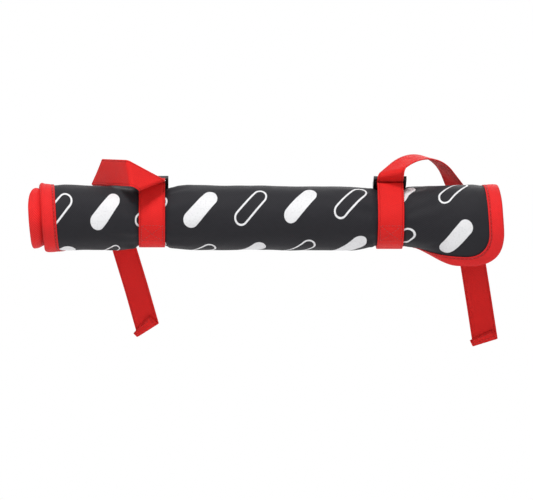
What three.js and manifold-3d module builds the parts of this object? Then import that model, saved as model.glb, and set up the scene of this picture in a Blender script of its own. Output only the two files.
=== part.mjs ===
// Padded protector that rolls round a bicycle's top tube and is held by two webbing straps.
// Millimetres. The origin is on the tube's axis halfway along the roll, +X runs along the tube
// towards the handlebar, -Y is the side seen from beside the bicycle, and +Z is up.
import * as THREE from "three";
import { mergeVertices } from "three/addons/utils/BufferGeometryUtils.js";
import Module from "manifold-3d";

const wasm = await Module();
wasm.setup();

// The panel, laid flat
const panelLength = 383;
const panelWidth = 224;
const panelThickness = 3;
const cornerRadius = 32;

// The roll that the panel makes round the tube
const boreRadius = 15.5;
const freeTurnGap = 3.2; // between turns, where no strap presses on them
const strapTurnGap = 1.5;
const strapSqueeze = 1; // how far a strap presses the first turn inwards
const squeezeSpread = 22; // length over which the roll swells again beside a strap
const endFlare = 1.2;
const endFlareReach = 45;
const skewPerTurn = 11.4; // each turn lies this far further along the tube
const outerEdgeAngle = -100; // 0 faces the viewer's side, 90 is on top
const rearWind = 50; // how much further round the outer edge lies at the rear end
const windReach = 25; // how far into the free corner that begins

// The corner of the outer turn that hangs free beyond the front strap
const flapDrop = 14;
const flapForward = 13;
const flapReach = 46; // measured round the roll from the outer edge
const flapRise = 44; // length along the tube over which it comes away

// Binding tape folded over the panel's edge
const bindingWidth = 11;
const bindingThickness = 0.6;
const bindingNose = 0.8;
const tapeClearance = 0.55;

// Webbing straps
const webbingWidth = 22;
const webbingThickness = 1.2;
const rearStrapInset = 95.7; // from the panel's end to the middle of the strap
const frontStrapInset = 86.7;
const sewnLap = 18; // the strap's end, sewn back on itself behind the socket
const tailHem = 7;
const bendRadius = 2.5;

// The loose tails, from the slider to the hem
const rearTailOut = 2;
const rearTailDip = 9; // forwards and down, to the fold that turns it back
const rearTailRise = 15.5; // from that fold to where it stands on edge
const rearTailCross = 61.3; // on edge over the roll, to the fold behind
const rearTailSlope = 18;
const rearTailTurn = 12;
const rearTailHang = 116;
const frontTailRise = 6.7;
const frontTailRun = 5.8;
const frontTailArch = 47;
const frontTailReach = 13.9; // from the arch to where it starts down
const frontTailDrop = 14;
const frontTailTurn = 8;
const frontTailHang = 115;
const tailSway = 3; // angle by which a hanging tail swings out and back
const swayRadius = 300;

// Side-release buckles
const buckleAngle = 112;
const buckleThickness = 7.4;
const buckleWall = 1.6;
const railWidth = 2.4;
const socketLength = 24;
const plugLength = 19;
const barWidth = 2.8;
const barThickness = 4.2;
const slotLength = 3.5;
const edgeRounding = 0.8;

const clearance = 0.4;

// Steps of the mesh
const turnStep = 5.7; // round the roll
const freeStep = 26; // along the tube, between the straps
const cornerSteps = 4;
const arcSteps = 5;

const degree = Math.PI / 180;
const smooth = (x) => THREE.MathUtils.smoothstep(x, 0, 1);
const evenly = (from, to, step) => {
  const count = Math.max(1, Math.round((to - from) / step));
  return Array.from({ length: count }, (_, i) => from + ((to - from) * i) / count);
};

// Triangles from rings of points, each ring running out along one face and back along the other
function loft(rings, closed = false) {
  const size = rings[0].length;
  const positions = rings.flat().flatMap((point) => point.toArray());
  const index = [];
  const quad = (a, b, c, d) => index.push(a, b, c, a, c, d);
  const spans = closed ? rings.length : rings.length - 1;
  for (let row = 0; row < spans; row++) {
    const here = row * size;
    const next = ((row + 1) % rings.length) * size;
    for (let k = 0; k < size; k++) {
      const after = (k + 1) % size;
      quad(here + k, next + k, next + after, here + after);
    }
  }
  if (!closed) {
    const last = (rings.length - 1) * size;
    for (let k = 0; k < size / 2 - 1; k++) {
      quad(k, k + 1, size - 2 - k, size - 1 - k);
      quad(last + k, last + size - 1 - k, last + size - 2 - k, last + k + 1);
    }
  }
  const geometry = new THREE.BufferGeometry();
  geometry.setAttribute("position", new THREE.Float32BufferAttribute(positions, 3));
  geometry.setIndex(index);
  return geometry;
}

// Booleans
function solidOf(geometry) {
  const bare = geometry.clone();
  bare.deleteAttribute("normal");
  bare.deleteAttribute("uv");
  const merged = mergeVertices(bare, 1e-4);
  return new wasm.Manifold(
    new wasm.Mesh({
      numProp: 3,
      vertProperties: merged.attributes.position.array,
      triVerts: new Uint32Array(merged.index.array),
    }),
  );
}

function geometryOf(solid) {
  const mesh = solid.getMesh();
  const geometry = new THREE.BufferGeometry();
  geometry.setAttribute("position", new THREE.BufferAttribute(mesh.vertProperties, 3));
  geometry.setIndex(new THREE.BufferAttribute(mesh.triVerts, 1));
  return geometry;
}

// The roll. v runs round it from the inner edge, u along it, and w outwards from the inner face.
const wholeTurn = 2 * Math.PI;
const freePitch = panelThickness + freeTurnGap;
const strapPitch = panelThickness + strapTurnGap;
const spiralStart = boreRadius + panelThickness / 2;
const spiralGrowth = freePitch / (2 * wholeTurn);
const turnAt = (v) =>
  (Math.sqrt(spiralStart ** 2 + 4 * spiralGrowth * v) - spiralStart) / (2 * spiralGrowth);
const rolledTurn = turnAt(panelWidth);
const frontTurn = rolledTurn + outerEdgeAngle * degree; // where the outer turn faces the viewer
const skewAt = (turn) => (skewPerTurn * (turn - frontTurn)) / wholeTurn + skewPerTurn / 2;
const halfLength = panelLength / 2;
const halfWidth = panelWidth / 2;
const frontStrapPlace = halfLength - frontStrapInset;
const strapPlaces = { rear: rearStrapInset - halfLength, front: frontStrapPlace };
const flatHalf = webbingWidth / 2 + 2;
const flapStart = frontStrapPlace + flatHalf;
const windStart = flapStart + windReach;

// Towards the rear end the panel is wound up tighter
function woundAt(x, turn) {
  const t = THREE.MathUtils.clamp((windStart - x) / (windStart + halfLength), 0, 1);
  return turn * (1 + (rearWind * degree * (1 - (1 - t) ** 4)) / rolledTurn);
}

function swellAt(x) {
  const nearest = Math.min(...Object.values(strapPlaces).map((place) => Math.abs(x - place)));
  return smooth((nearest - flatHalf) / squeezeSpread);
}

function innerFace(u, v) {
  const turn = turnAt(v);
  const x = u + skewAt(turn);
  const swell = swellAt(x);
  const flare = endFlare * smooth((Math.abs(x) - halfLength + endFlareReach) / endFlareReach);
  const pitch = THREE.MathUtils.lerp(strapPitch, freePitch, swell);
  const wound = woundAt(x, turn);
  const radius = boreRadius - strapSqueeze * (1 - swell) + flare + (pitch * wound) / wholeTurn;
  const angle = outerEdgeAngle * degree + rolledTurn - wound;
  const droop =
    smooth((x - flapStart) / flapRise) * Math.max(0, (v - panelWidth + flapReach) / flapReach) ** 2;
  return new THREE.Vector3(
    x,
    -radius * Math.cos(angle) - flapForward * droop,
    radius * Math.sin(angle) - flapDrop * droop,
  );
}

function rollPoint(u, v, w) {
  const nudge = 0.05;
  const alongU = innerFace(u + nudge, v).sub(innerFace(u - nudge, v));
  const alongV = innerFace(u, v + nudge).sub(innerFace(u, v - nudge));
  return innerFace(u, v).addScaledVector(alongV.cross(alongU).normalize(), w);
}

// The flat panel is a rounded rectangle. Its grid bends in the corners, so that the grid's own
// border is the panel's edge.
const straightLength = halfLength - cornerRadius;
const straightWidth = halfWidth - cornerRadius;

function panelPlace(p, q, inset = 0) {
  const across = q - halfWidth;
  const a = (Math.abs(p) - straightLength) / cornerRadius;
  const b = (Math.abs(across) - straightWidth) / cornerRadius;
  const radius = cornerRadius - inset;
  if (a > 0 && b > 0) {
    const u = straightLength + radius * a * Math.sqrt(1 - (b * b) / 2);
    const v = straightWidth + radius * b * Math.sqrt(1 - (a * a) / 2);
    return [Math.sign(p) * u, halfWidth + Math.sign(across) * v];
  }
  if (a > 1 - 1e-9) return [Math.sign(p) * (halfLength - inset), q];
  if (b > 1 - 1e-9) return [p, halfWidth + Math.sign(across) * (halfWidth - inset)];
  return [p, q];
}

// Between the corners the columns stay square to the tube, so that the straps lie on flat bands.
function gridPoint(p, q, inset, w) {
  const [u, v] = panelPlace(p, q, inset);
  const square = 1 - smooth((Math.abs(p) - frontStrapPlace - flatHalf) / squeezeSpread);
  return rollPoint(u - square * skewAt(turnAt(v)), v, w);
}

const cornerStep = cornerRadius / cornerSteps;
const columns = (() => {
  const stops = [-straightLength];
  for (const place of Object.values(strapPlaces)) {
    for (const side of [-1, 1]) {
      const spread = [squeezeSpread, squeezeSpread / 2, 0].map((s) => place + side * (flatHalf + s));
      stops.push(...(side < 0 ? spread : spread.reverse()));
    }
  }
  stops.push(straightLength);
  const inner = stops.flatMap((stop, i) =>
    i + 1 < stops.length ? evenly(stop, stops[i + 1], freeStep) : [stop],
  );
  const left = evenly(-halfLength, -straightLength, cornerStep);
  const right = evenly(straightLength, halfLength, cornerStep).slice(1);
  return [...left, ...inner, ...right, halfLength];
})();
const rows = [
  ...evenly(0, bindingWidth, bindingWidth / 2),
  ...evenly(bindingWidth, panelWidth - bindingWidth, turnStep),
  ...evenly(panelWidth - bindingWidth, panelWidth, bindingWidth / 2),
  panelWidth,
];

function makePad() {
  const rings = rows.map((q) => {
    const outside = columns.map((p) => gridPoint(p, q, 0, panelThickness));
    const inside = columns.map((p) => gridPoint(p, q, 0, 0));
    return [...outside, ...inside.reverse()];
  });
  return loft(rings);
}

// One tape all round the edge: two legs on the panel's faces and a rounded nose past its rim
function makeBinding() {
  const legs = [bindingWidth, bindingWidth / 2, 0];
  const middle = panelThickness / 2;
  const side = (offset, noseAngles) => {
    const reach = middle + offset;
    const nose = noseAngles.map((angle) => [
      -(bindingNose + offset) * Math.cos(angle * degree),
      middle + reach * Math.sin(angle * degree),
    ]);
    return [
      ...legs.map((inset) => [inset, middle + reach]),
      ...nose,
      ...legs.map((inset) => [inset, middle - reach]).reverse(),
    ];
  };
  const outside = side(tapeClearance + bindingThickness, [40, 0, -40]);
  const inside = side(tapeClearance, [0]);
  const section = [...outside, ...inside.reverse()];
  const border = [
    ...columns.map((p) => [p, 0]),
    ...rows.slice(1).map((q) => [halfLength, q]),
    ...columns.slice(0, -1).reverse().map((p) => [p, panelWidth]),
    ...rows.slice(1, -1).reverse().map((q) => [-halfLength, q]),
  ];
  const rings = border.map(([p, q]) => section.map(([inset, w]) => gridPoint(p, q, inset, w)));
  return loft(rings, true);
}

// A strip of webbing is laid out like bent sheet: it runs straight for a while and then turns
// about a line across it. A skew slants that line, which turns the strip sideways as well.
function foldStrip(start, bends) {
  const at = start.at.clone();
  const along = start.along.clone().normalize();
  const across = new THREE.Vector3(1, 0, 0);
  const half = webbingWidth / 2;
  const rings = [];
  for (const { run, turn = 0, skew = 0 } of bends) {
    at.addScaledVector(along, run);
    const axis = across.clone().addScaledVector(along, skew).normalize();
    const reach = across.clone().addScaledVector(along, skew).multiplyScalar(half);
    const lift = new THREE.Vector3().crossVectors(along, across).normalize();
    lift.applyAxisAngle(axis, -turn * 0.5 * degree);
    lift.multiplyScalar(webbingThickness / 2 / Math.cos(turn * 0.5 * degree));
    const left = at.clone().sub(reach);
    const right = at.clone().add(reach);
    rings.push([
      left.clone().add(lift),
      right.clone().add(lift),
      right.clone().sub(lift),
      left.clone().sub(lift),
    ]);
    along.applyAxisAngle(axis, -turn * degree);
    across.applyAxisAngle(axis, -turn * degree);
  }
  return loft(rings);
}

// The same turn spread over several lines, as round a bar of that radius
function roundBend(run, turn, radius, skew = 0, steps = arcSteps) {
  const step = (Math.abs(turn) * degree * radius) / steps;
  const bends = Array.from({ length: steps }, (_, i) => ({
    run: i ? step : run + step / 2,
    turn: turn / steps,
    skew,
  }));
  return [...bends, { run: step / 2, skew }];
}

// Sharp corners of a route become short curves, since webbing has no creases there
function softened(path, radius) {
  return path.flatMap((point, i) => {
    if (i === 0 || i === path.length - 1) return [point];
    const back = path[i - 1].clone().sub(point);
    const ahead = path[i + 1].clone().sub(point);
    if (back.angleTo(ahead) > 155 * degree) return [point];
    const enter = back.clone().setLength(Math.min(radius, back.length() * 0.4)).add(point);
    const leave = ahead.clone().setLength(Math.min(radius, ahead.length() * 0.4)).add(point);
    const middle = enter.clone().add(leave).addScaledVector(point, 2).multiplyScalar(0.25);
    return [enter, middle, leave];
  });
}

function bendsAlong(path) {
  const bends = [{ run: 0 }];
  for (let i = 1; i < path.length; i++) {
    const before = path[i].clone().sub(path[i - 1]);
    const after = i + 1 < path.length ? path[i + 1].clone().sub(path[i]) : before;
    const turn = Math.atan2(before.cross(after), before.dot(after)) / degree;
    bends.push({ run: before.length(), turn: -turn });
  }
  return bends;
}

// Buckle frame: x across the webbing, y towards the socket, z away from the tube
const openingHalf = webbingWidth / 2 + clearance;
const buckleHalf = openingHalf + railWidth;
const webbingOffset = clearance + webbingThickness / 2; // centre of webbing from what it lies on
const bearingTurn = rolledTurn - (buckleAngle - outerEdgeAngle) * degree;
const bearingRadius =
  boreRadius - strapSqueeze + (strapPitch * bearingTurn) / wholeTurn + panelThickness;
const buckleTilt = (90 - buckleAngle) * degree;
const buckleMiddle = (socketLength - plugLength) / 2;

function buckleFrame(place) {
  const frame = new THREE.Group();
  frame.position.set(place, 0, 0);
  frame.rotation.x = buckleTilt;
  const held = new THREE.Group();
  held.position.set(0, -buckleMiddle, bearingRadius + clearance);
  frame.add(held);
  frame.updateMatrixWorld(true);
  return { frame, held };
}

function outlineShape(points, rounding) {
  const shape = new THREE.Shape();
  const corners = points.map(([x, y]) => new THREE.Vector2(x, y));
  corners.forEach((corner, i) => {
    const before = corners[(i + corners.length - 1) % corners.length];
    const after = corners[(i + 1) % corners.length];
    const radius = Math.min(
      rounding,
      corner.distanceTo(before) * 0.45,
      corner.distanceTo(after) * 0.45,
    );
    const enter = before.clone().sub(corner).setLength(radius).add(corner);
    const leave = after.clone().sub(corner).setLength(radius).add(corner);
    if (i) shape.lineTo(enter.x, enter.y);
    else shape.moveTo(enter.x, enter.y);
    shape.quadraticCurveTo(corner.x, corner.y, leave.x, leave.y);
  });
  shape.closePath();
  return shape;
}

function plate(points, from, to, rounding = 0.6, bevel = 0) {
  const geometry = new THREE.ExtrudeGeometry(outlineShape(points, rounding), {
    depth: to - from - 2 * bevel,
    curveSegments: 3,
    bevelEnabled: bevel > 0,
    bevelSize: bevel,
    bevelThickness: bevel,
    bevelOffset: -bevel,
    bevelSegments: 2,
  });
  return solidOf(geometry.translate(0, 0, from + bevel));
}

function box(x0, x1, y0, y1, z0, z1) {
  const geometry = new THREE.BoxGeometry(x1 - x0, y1 - y0, z1 - z0);
  return solidOf(geometry.translate((x0 + x1) / 2, (y0 + y1) / 2, (z0 + z1) / 2));
}

// A profile in the buckle's y and z, extruded across it
function crossBar(points, x0, x1, rounding) {
  const geometry = new THREE.ExtrudeGeometry(outlineShape(points, rounding), {
    depth: x1 - x0,
    curveSegments: 3,
    bevelEnabled: false,
  });
  geometry.applyMatrix4(
    new THREE.Matrix4().set(0, 0, 1, x0, 1, 0, 0, 0, 0, 1, 0, 0, 0, 0, 0, 1),
  );
  return solidOf(geometry);
}

const mirrored = (points, side) => {
  const turned = points.map(([x, y]) => [side * x, y]);
  return side < 0 ? turned.reverse() : turned;
};

// Sizes that the socket and the plug share
const cavityHalf = openingHalf + 0.3;
const cavityFloor = buckleWall;
const cavityRoof = buckleThickness - buckleWall;
const windowInner = openingHalf - 1.8;
const windowStart = 4.2;
const windowEnd = 13.4;
const rearSlotEnd = socketLength - barWidth;
const rearSlotStart = rearSlotEnd - slotLength;
const cavityEnd = rearSlotStart - buckleWall;
const barFloor = (buckleThickness - barThickness) / 2;
const barRoof = barFloor + barThickness;

function makeSocket() {
  const taper = 0.9;
  const outline = [
    [-buckleHalf, 0],
    [buckleHalf, 0],
    [buckleHalf - taper, windowEnd],
    [buckleHalf, rearSlotStart],
    [buckleHalf - taper, socketLength],
    [-buckleHalf + taper, socketLength],
    [-buckleHalf, rearSlotStart],
    [-buckleHalf + taper, windowEnd],
  ];
  let socket = plate(outline, 0, buckleThickness, 2.5, edgeRounding);
  socket = socket.subtract(
    box(-cavityHalf, cavityHalf, -1, cavityEnd, cavityFloor, cavityRoof),
  );
  const past = 4;
  for (const side of [-1, 1]) {
    const opening = mirrored(
      [
        [windowInner, windowStart],
        [buckleHalf + past, windowStart],
        [buckleHalf + past, windowEnd],
        [windowInner, windowEnd],
      ],
      side,
    );
    socket = socket.subtract(plate(opening, -1, buckleThickness + 1, 2.2));
  }
  socket = socket.subtract(
    box(-openingHalf, openingHalf, rearSlotStart, rearSlotEnd, -1, buckleThickness + 1),
  );
  for (const [low, high] of [[-1, barFloor], [barRoof, buckleThickness + 1]]) {
    socket = socket.subtract(
      box(-openingHalf, openingHalf, rearSlotEnd - 0.2, socketLength + 1, low, high),
    );
  }
  return geometryOf(socket);
}

// Plug: a shoulder, two spring arms and a guide that lie in the socket, and a two-bar slider
const shoulderGap = 0.5;
const shoulderEnd = -shoulderGap - 4.4;
const sliderBarStart = shoulderEnd - slotLength;
const sliderBarEnd = sliderBarStart - barWidth;
const endBarEnd = -shoulderGap - plugLength;
const endBarStart = endBarEnd + barWidth + 0.4;
const endBarFloor = webbingThickness + 2 * clearance;
const endBarRoof = endBarFloor + 3.2;
const sliderBarFloor = clearance + 0.4;
const sliderBarRoof = sliderBarFloor + 3;

function makePlug() {
  const shoulder = [
    [-buckleHalf, shoulderEnd],
    [buckleHalf, shoulderEnd],
    [buckleHalf, -shoulderGap],
    [-buckleHalf, -shoulderGap],
  ];
  let plug = plate(shoulder, 0, buckleThickness, 1.4, edgeRounding);
  const armFloor = cavityFloor + clearance;
  const armRoof = cavityRoof - clearance;
  const root = -shoulderGap - 1;
  const button = buckleHalf - 0.1;
  for (const side of [-1, 1]) {
    const arm = mirrored(
      [
        [6.4, root],
        [9.2, root],
        [9.6, windowStart - 0.6],
        [windowInner + 0.6, windowStart + clearance],
        [button - 0.7, windowStart + clearance],
        [button, windowStart + 3.4],
        [button - 0.8, windowEnd - 3],
        [cavityHalf - 1.2, windowEnd - clearance],
        [9.2, cavityEnd - 0.8],
        [7.9, cavityEnd - 1.4],
        [8.2, windowEnd - 3],
        [8, windowStart + 2],
      ],
      side,
    );
    plug = plug.add(plate(arm, armFloor, armRoof, 1.1));
    const rail = [
      [shoulderEnd + 1, 0.4],
      [shoulderEnd + 1, endBarRoof + 0.9],
      [sliderBarEnd, endBarRoof + 0.2],
      [endBarEnd, endBarRoof],
      [endBarEnd, endBarFloor],
      [sliderBarEnd, 0.1],
    ].reverse();
    const [inner, outer] = side < 0 ? [-buckleHalf, -openingHalf] : [openingHalf, buckleHalf];
    plug = plug.add(crossBar(rail, inner, outer, 1));
  }
  const guide = [
    [-1.7, root],
    [1.7, root],
    [1.7, cavityEnd - 4],
    [0.8, cavityEnd - 1.6],
    [-0.8, cavityEnd - 1.6],
    [-1.7, cavityEnd - 4],
  ];
  plug = plug.add(plate(guide, armFloor, armRoof, 0.5));
  const bars = [
    [sliderBarEnd, sliderBarStart, sliderBarFloor, sliderBarRoof],
    [endBarEnd, endBarStart, endBarFloor, endBarRoof],
  ];
  for (const [start, end, low, high] of bars) {
    const profile = [
      [start, low],
      [end, low],
      [end, high],
      [start, high],
    ];
    plug = plug.add(crossBar(profile, -openingHalf - 1, openingHalf + 1, 1.1));
  }
  return geometryOf(plug);
}

// The strap's route in the plane across the tube. It is pulled tight, so it takes the shortest
// way round the roll from the socket's bar to the plug: the hull of what it lies on.
function hullOf(points) {
  const sorted = [...points].sort((a, b) => a.x - b.x || a.y - b.y);
  const half = (list) => {
    const chain = [];
    for (const point of list) {
      while (chain.length > 1) {
        const [a, b] = chain.slice(-2);
        if (b.clone().sub(a).cross(point.clone().sub(b)) > 1e-9) break;
        chain.pop();
      }
      chain.push(point);
    }
    return chain.slice(0, -1);
  };
  return [...half(sorted), ...half(sorted.reverse())];
}

function strapRoute(place, held) {
  const inPlane = (y, z) => {
    const point = held.localToWorld(new THREE.Vector3(0, y, z));
    return new THREE.Vector2(point.y, point.z);
  };
  const nose = bindingNose + tapeClearance + bindingThickness;
  const outerTurn = rows.filter((q) => turnAt(q) > rolledTurn - wholeTurn);
  const surface = [-1, 0, 1].flatMap((side) => {
    const x = place + (side * webbingWidth) / 2;
    const layers = outerTurn.map((q) => {
      const taped = q >= panelWidth - bindingWidth - 1e-9;
      const under = taped ? tapeClearance + bindingThickness : 0;
      return gridPoint(x, q, 0, panelThickness + under + webbingOffset);
    });
    return [...layers, gridPoint(x, panelWidth, -nose, panelThickness + webbingOffset)];
  });
  const underEndBar = inPlane(endBarEnd, -webbingOffset);
  const underRearBar = inPlane(socketLength, barFloor - webbingOffset);
  const pressed = surface.map((point) => new THREE.Vector2(point.y, point.z));
  const hull = hullOf([...pressed, underEndBar, underRearBar]);
  const begin = hull.indexOf(underRearBar);
  const turned = [...hull.slice(begin), ...hull.slice(0, begin)];
  const clockwise = turned[1].y > underRearBar.y ? [turned[0], ...turned.slice(1).reverse()] : turned;
  const round = clockwise.slice(0, clockwise.indexOf(underEndBar) + 1);
  const leave = round[1].clone().sub(round[0]).setLength(1);
  const outwards = new THREE.Vector2(-leave.y, leave.x);
  const lapEnd = round[0].clone().addScaledVector(outwards, webbingThickness + clearance);
  const lap = [sewnLap, 3].map((back) => lapEnd.clone().addScaledVector(leave, back));
  const slot = rearSlotEnd - webbingOffset;
  const loop = [
    [socketLength + webbingOffset + 0.2, barRoof + 0.4],
    [socketLength + 0.4, barRoof + webbingOffset],
    [rearSlotEnd - 0.2, barRoof + webbingOffset],
    [slot, barRoof + 0.2],
    [slot, barFloor - 0.2],
    [rearSlotEnd - 0.2, barFloor - webbingOffset],
  ].map(([y, z]) => inPlane(y, z));
  const rise = sliderBarStart + webbingOffset;
  const top = sliderBarRoof + webbingOffset;
  const fall = sliderBarEnd - webbingOffset;
  const tailLevel = webbingOffset - clearance + 0.2;
  const slider = [
    [rise - 1, -webbingOffset],
    [rise, 0.3],
    [rise, top - 1],
    [rise - 1, top],
    [fall + 1, top],
    [fall, top - 1],
    [fall - 0.2, tailLevel + 1],
    [fall - 1.2, tailLevel],
    [endBarEnd, tailLevel],
  ].map(([y, z]) => inPlane(y, z));
  return [...lap, ...loop, ...round, ...slider];
}

function makeStrap(place, held, tail) {
  const route = softened(strapRoute(place, held), bendRadius);
  const start = new THREE.Vector3(place, route[0].x, route[0].y);
  const step = route[1].clone().sub(route[0]);
  const bends = bendsAlong(route);
  bends.pop();
  const last = route[route.length - 1].distanceTo(route[route.length - 2]);
  const [first, ...rest] = tail;
  return foldStrip(
    { at: start, along: new THREE.Vector3(0, step.x, step.y) },
    [...bends, { ...first, run: first.run + last }, ...rest],
  );
}

// A tail hangs down, and its hem is folded up on a slant and sewn flat
const hang = (length, slant) => {
  const sway = tailSway * degree * swayRadius;
  return [
    ...roundBend(length * 0.2, -tailSway, swayRadius, 0, 2),
    ...roundBend(length * 0.3, tailSway, swayRadius, 0, 2),
    { run: length * 0.5 - 2 * sway + webbingThickness, turn: 90, skew: slant },
    { run: webbingThickness + clearance, turn: 90, skew: slant },
    { run: tailHem },
  ];
};
const tails = {
  // Folded back on a slant so that it stands on edge over the roll, then folded down behind it
  rear: [
    ...roundBend(rearTailOut, -50, 2 * bendRadius, 0, 3),
    ...roundBend(rearTailDip, 144, bendRadius, -0.77),
    ...roundBend(rearTailRise, 87, 1.6 * bendRadius, 0.59),
    ...roundBend(rearTailCross, 135, bendRadius, -0.89),
    ...roundBend(rearTailSlope, 22, rearTailTurn, 0.7, 3),
    ...hang(rearTailHang, -0.28),
  ],
  // Arched up and over, and down behind the free corner
  front: [
    ...roundBend(frontTailRise, 126, 1.4 * bendRadius, 0.56, 4),
    ...roundBend(frontTailRun, 73, frontTailArch, -0.14, 6),
    ...roundBend(frontTailReach, 27, frontTailArch / 2, 1.24, 3),
    ...roundBend(frontTailDrop, 44, frontTailTurn, 0.82, 4),
    ...hang(frontTailHang, -0.15),
  ],
};

const finishes = {
  pad: { color: "#2d2c31", roughness: 0.85 },
  binding: { color: "#e0392d", roughness: 0.8 },
  webbing: { color: "#e63a2e", roughness: 0.75 },
  buckle: { color: "#19191b", roughness: 0.45 },
};

function named(name, geometry, finish) {
  const material = new THREE.MeshStandardMaterial({ ...finishes[finish], metalness: 0 });
  const mesh = new THREE.Mesh(geometry, material);
  mesh.name = name;
  return mesh;
}

const protector = new THREE.Group();
protector.add(named("pad", makePad(), "pad"));
protector.add(named("edge_binding", makeBinding(), "binding"));
for (const [end, place] of Object.entries(strapPlaces)) {
  const { frame, held } = buckleFrame(place);
  held.add(named(`${end}_buckle_socket`, makeSocket(), "buckle"));
  held.add(named(`${end}_buckle_plug`, makePlug(), "buckle"));
  protector.add(frame);
  protector.add(named(`${end}_strap`, makeStrap(place, held, tails[end]), "webbing"));
}

export default protector;
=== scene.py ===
import math
import bmesh
import bpy
import numpy as np
from mathutils import Matrix, Vector, noise


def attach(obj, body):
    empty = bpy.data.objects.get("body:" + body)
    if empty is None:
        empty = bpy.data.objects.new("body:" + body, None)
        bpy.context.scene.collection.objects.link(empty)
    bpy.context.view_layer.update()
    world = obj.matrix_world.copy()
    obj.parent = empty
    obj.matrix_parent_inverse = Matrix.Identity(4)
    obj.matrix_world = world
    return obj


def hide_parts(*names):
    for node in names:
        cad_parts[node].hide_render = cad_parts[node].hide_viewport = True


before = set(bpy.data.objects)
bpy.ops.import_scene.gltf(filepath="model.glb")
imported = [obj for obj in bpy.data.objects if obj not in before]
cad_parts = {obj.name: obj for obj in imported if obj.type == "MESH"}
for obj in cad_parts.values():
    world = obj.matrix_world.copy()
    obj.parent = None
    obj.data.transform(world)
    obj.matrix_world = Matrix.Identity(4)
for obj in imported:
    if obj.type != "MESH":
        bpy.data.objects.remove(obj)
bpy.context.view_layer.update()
print("frame loaded")

metre = 0.001  # the settings below are in millimetres


# Camera, as the photograph sees the roll: level with it and a little below
shot = {
    "originPixel": (307.1, 188.3),  # the middle of the roll in the photograph
    "framePixels": (195, 97, 420, 308),  # the part of the photograph that fills the picture
    "pixel": 2.0,  # so much of the object shows in one pixel of the photograph
    "distance": 3000,
    "azimuth": -1.5,
    "elevation": -1.8,
    "sensor": 36,
}


def addCamera():
    left, top, right, bottom = shot["framePixels"]
    originX, originY = shot["originPixel"]
    aside = (left + right) / 2 - originX
    above = originY - (top + bottom) / 2
    target = Vector((aside, 0, above)) * shot["pixel"] * metre
    azimuth = math.radians(shot["azimuth"])
    elevation = math.radians(shot["elevation"])
    back = Vector((
        math.sin(azimuth) * math.cos(elevation),
        -math.cos(azimuth) * math.cos(elevation),
        math.sin(elevation),
    ))
    camera = bpy.data.objects.new("camera", bpy.data.cameras.new("camera"))
    camera.data.sensor_width = shot["sensor"]
    camera.data.lens = shot["sensor"] * shot["distance"] / ((right - left) * shot["pixel"])
    camera.location = target + back * shot["distance"] * metre
    camera.rotation_mode = "QUATERNION"
    camera.rotation_quaternion = (-back).to_track_quat("-Z", "Y")
    bpy.context.collection.objects.link(camera)
    bpy.context.scene.camera = camera


addCamera()
print("camera ready")


# The rolled panel: v runs round the roll from its inner edge, u along it, w out from its inner face
roll = {
    "length": 383,
    "width": 224,
    "thickness": 3,
    "corner": 32,
    "bore": 15.5,
    "freeGap": 3.2,
    "strapGap": 1.5,
    "squeeze": 1,
    "spread": 22,
    "flare": 1.2,
    "flareReach": 45,
    "skew": 11.4,
    "edgeAngle": math.radians(-100),
    "rearWind": math.radians(50),
    "windReach": 30,
    "windPower": 4,
    "flapDrop": 14,
    "flapForward": 13,
    "flapReach": 46,
    "flapGap": 10,  # from the strap to where the free corner starts to droop
    "flapRise": 34,
    "lipRise": 3.2,  # how far the inner turn opens out where it stands clear of the outer one
    "lipReach": 9,
}
tape = {"width": 11, "thickness": 0.6, "nose": 0.8, "clearance": 0.55}
webbing = {"width": 22, "thickness": 1.2, "clearance": 0.4, "rearInset": 95.7, "frontInset": 86.7}

halfLength = roll["length"] / 2
halfWidth = roll["width"] / 2
straightLength = halfLength - roll["corner"]
straightWidth = halfWidth - roll["corner"]
strapPlaces = {
    "rear": webbing["rearInset"] - halfLength,
    "front": halfLength - webbing["frontInset"],
}
flatHalf = webbing["width"] / 2 + 2
flapStart = strapPlaces["front"] + flatHalf + roll["flapGap"]
windStart = flapStart + roll["windReach"]
lipStart = roll["skew"] / 2 - halfLength
wholeTurn = 2 * math.pi
freePitch = roll["thickness"] + roll["freeGap"]
strapPitch = roll["thickness"] + roll["strapGap"]
spiralStart = roll["bore"] + roll["thickness"] / 2
spiralGrowth = freePitch / (2 * wholeTurn)


def smooth(x):
    x = np.clip(x, 0, 1)
    return x * x * (3 - 2 * x)


def turnAt(v):
    return (np.sqrt(spiralStart**2 + 4 * spiralGrowth * v) - spiralStart) / (2 * spiralGrowth)


rolledTurn = float(turnAt(roll["width"]))
frontTurn = rolledTurn + roll["edgeAngle"]


def skewAt(turn):
    return roll["skew"] * (turn - frontTurn) / wholeTurn + roll["skew"] / 2


# Towards the rear end the panel is wound up tighter
def woundAt(x, turn):
    t = np.clip((windStart - x) / (windStart + halfLength), 0, 1)
    return turn * (1 + roll["rearWind"] * (1 - (1 - t) ** roll["windPower"]) / rolledTurn)


def strapDistance(x):
    return np.minimum(np.abs(x - strapPlaces["rear"]), np.abs(x - strapPlaces["front"]))


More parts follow.
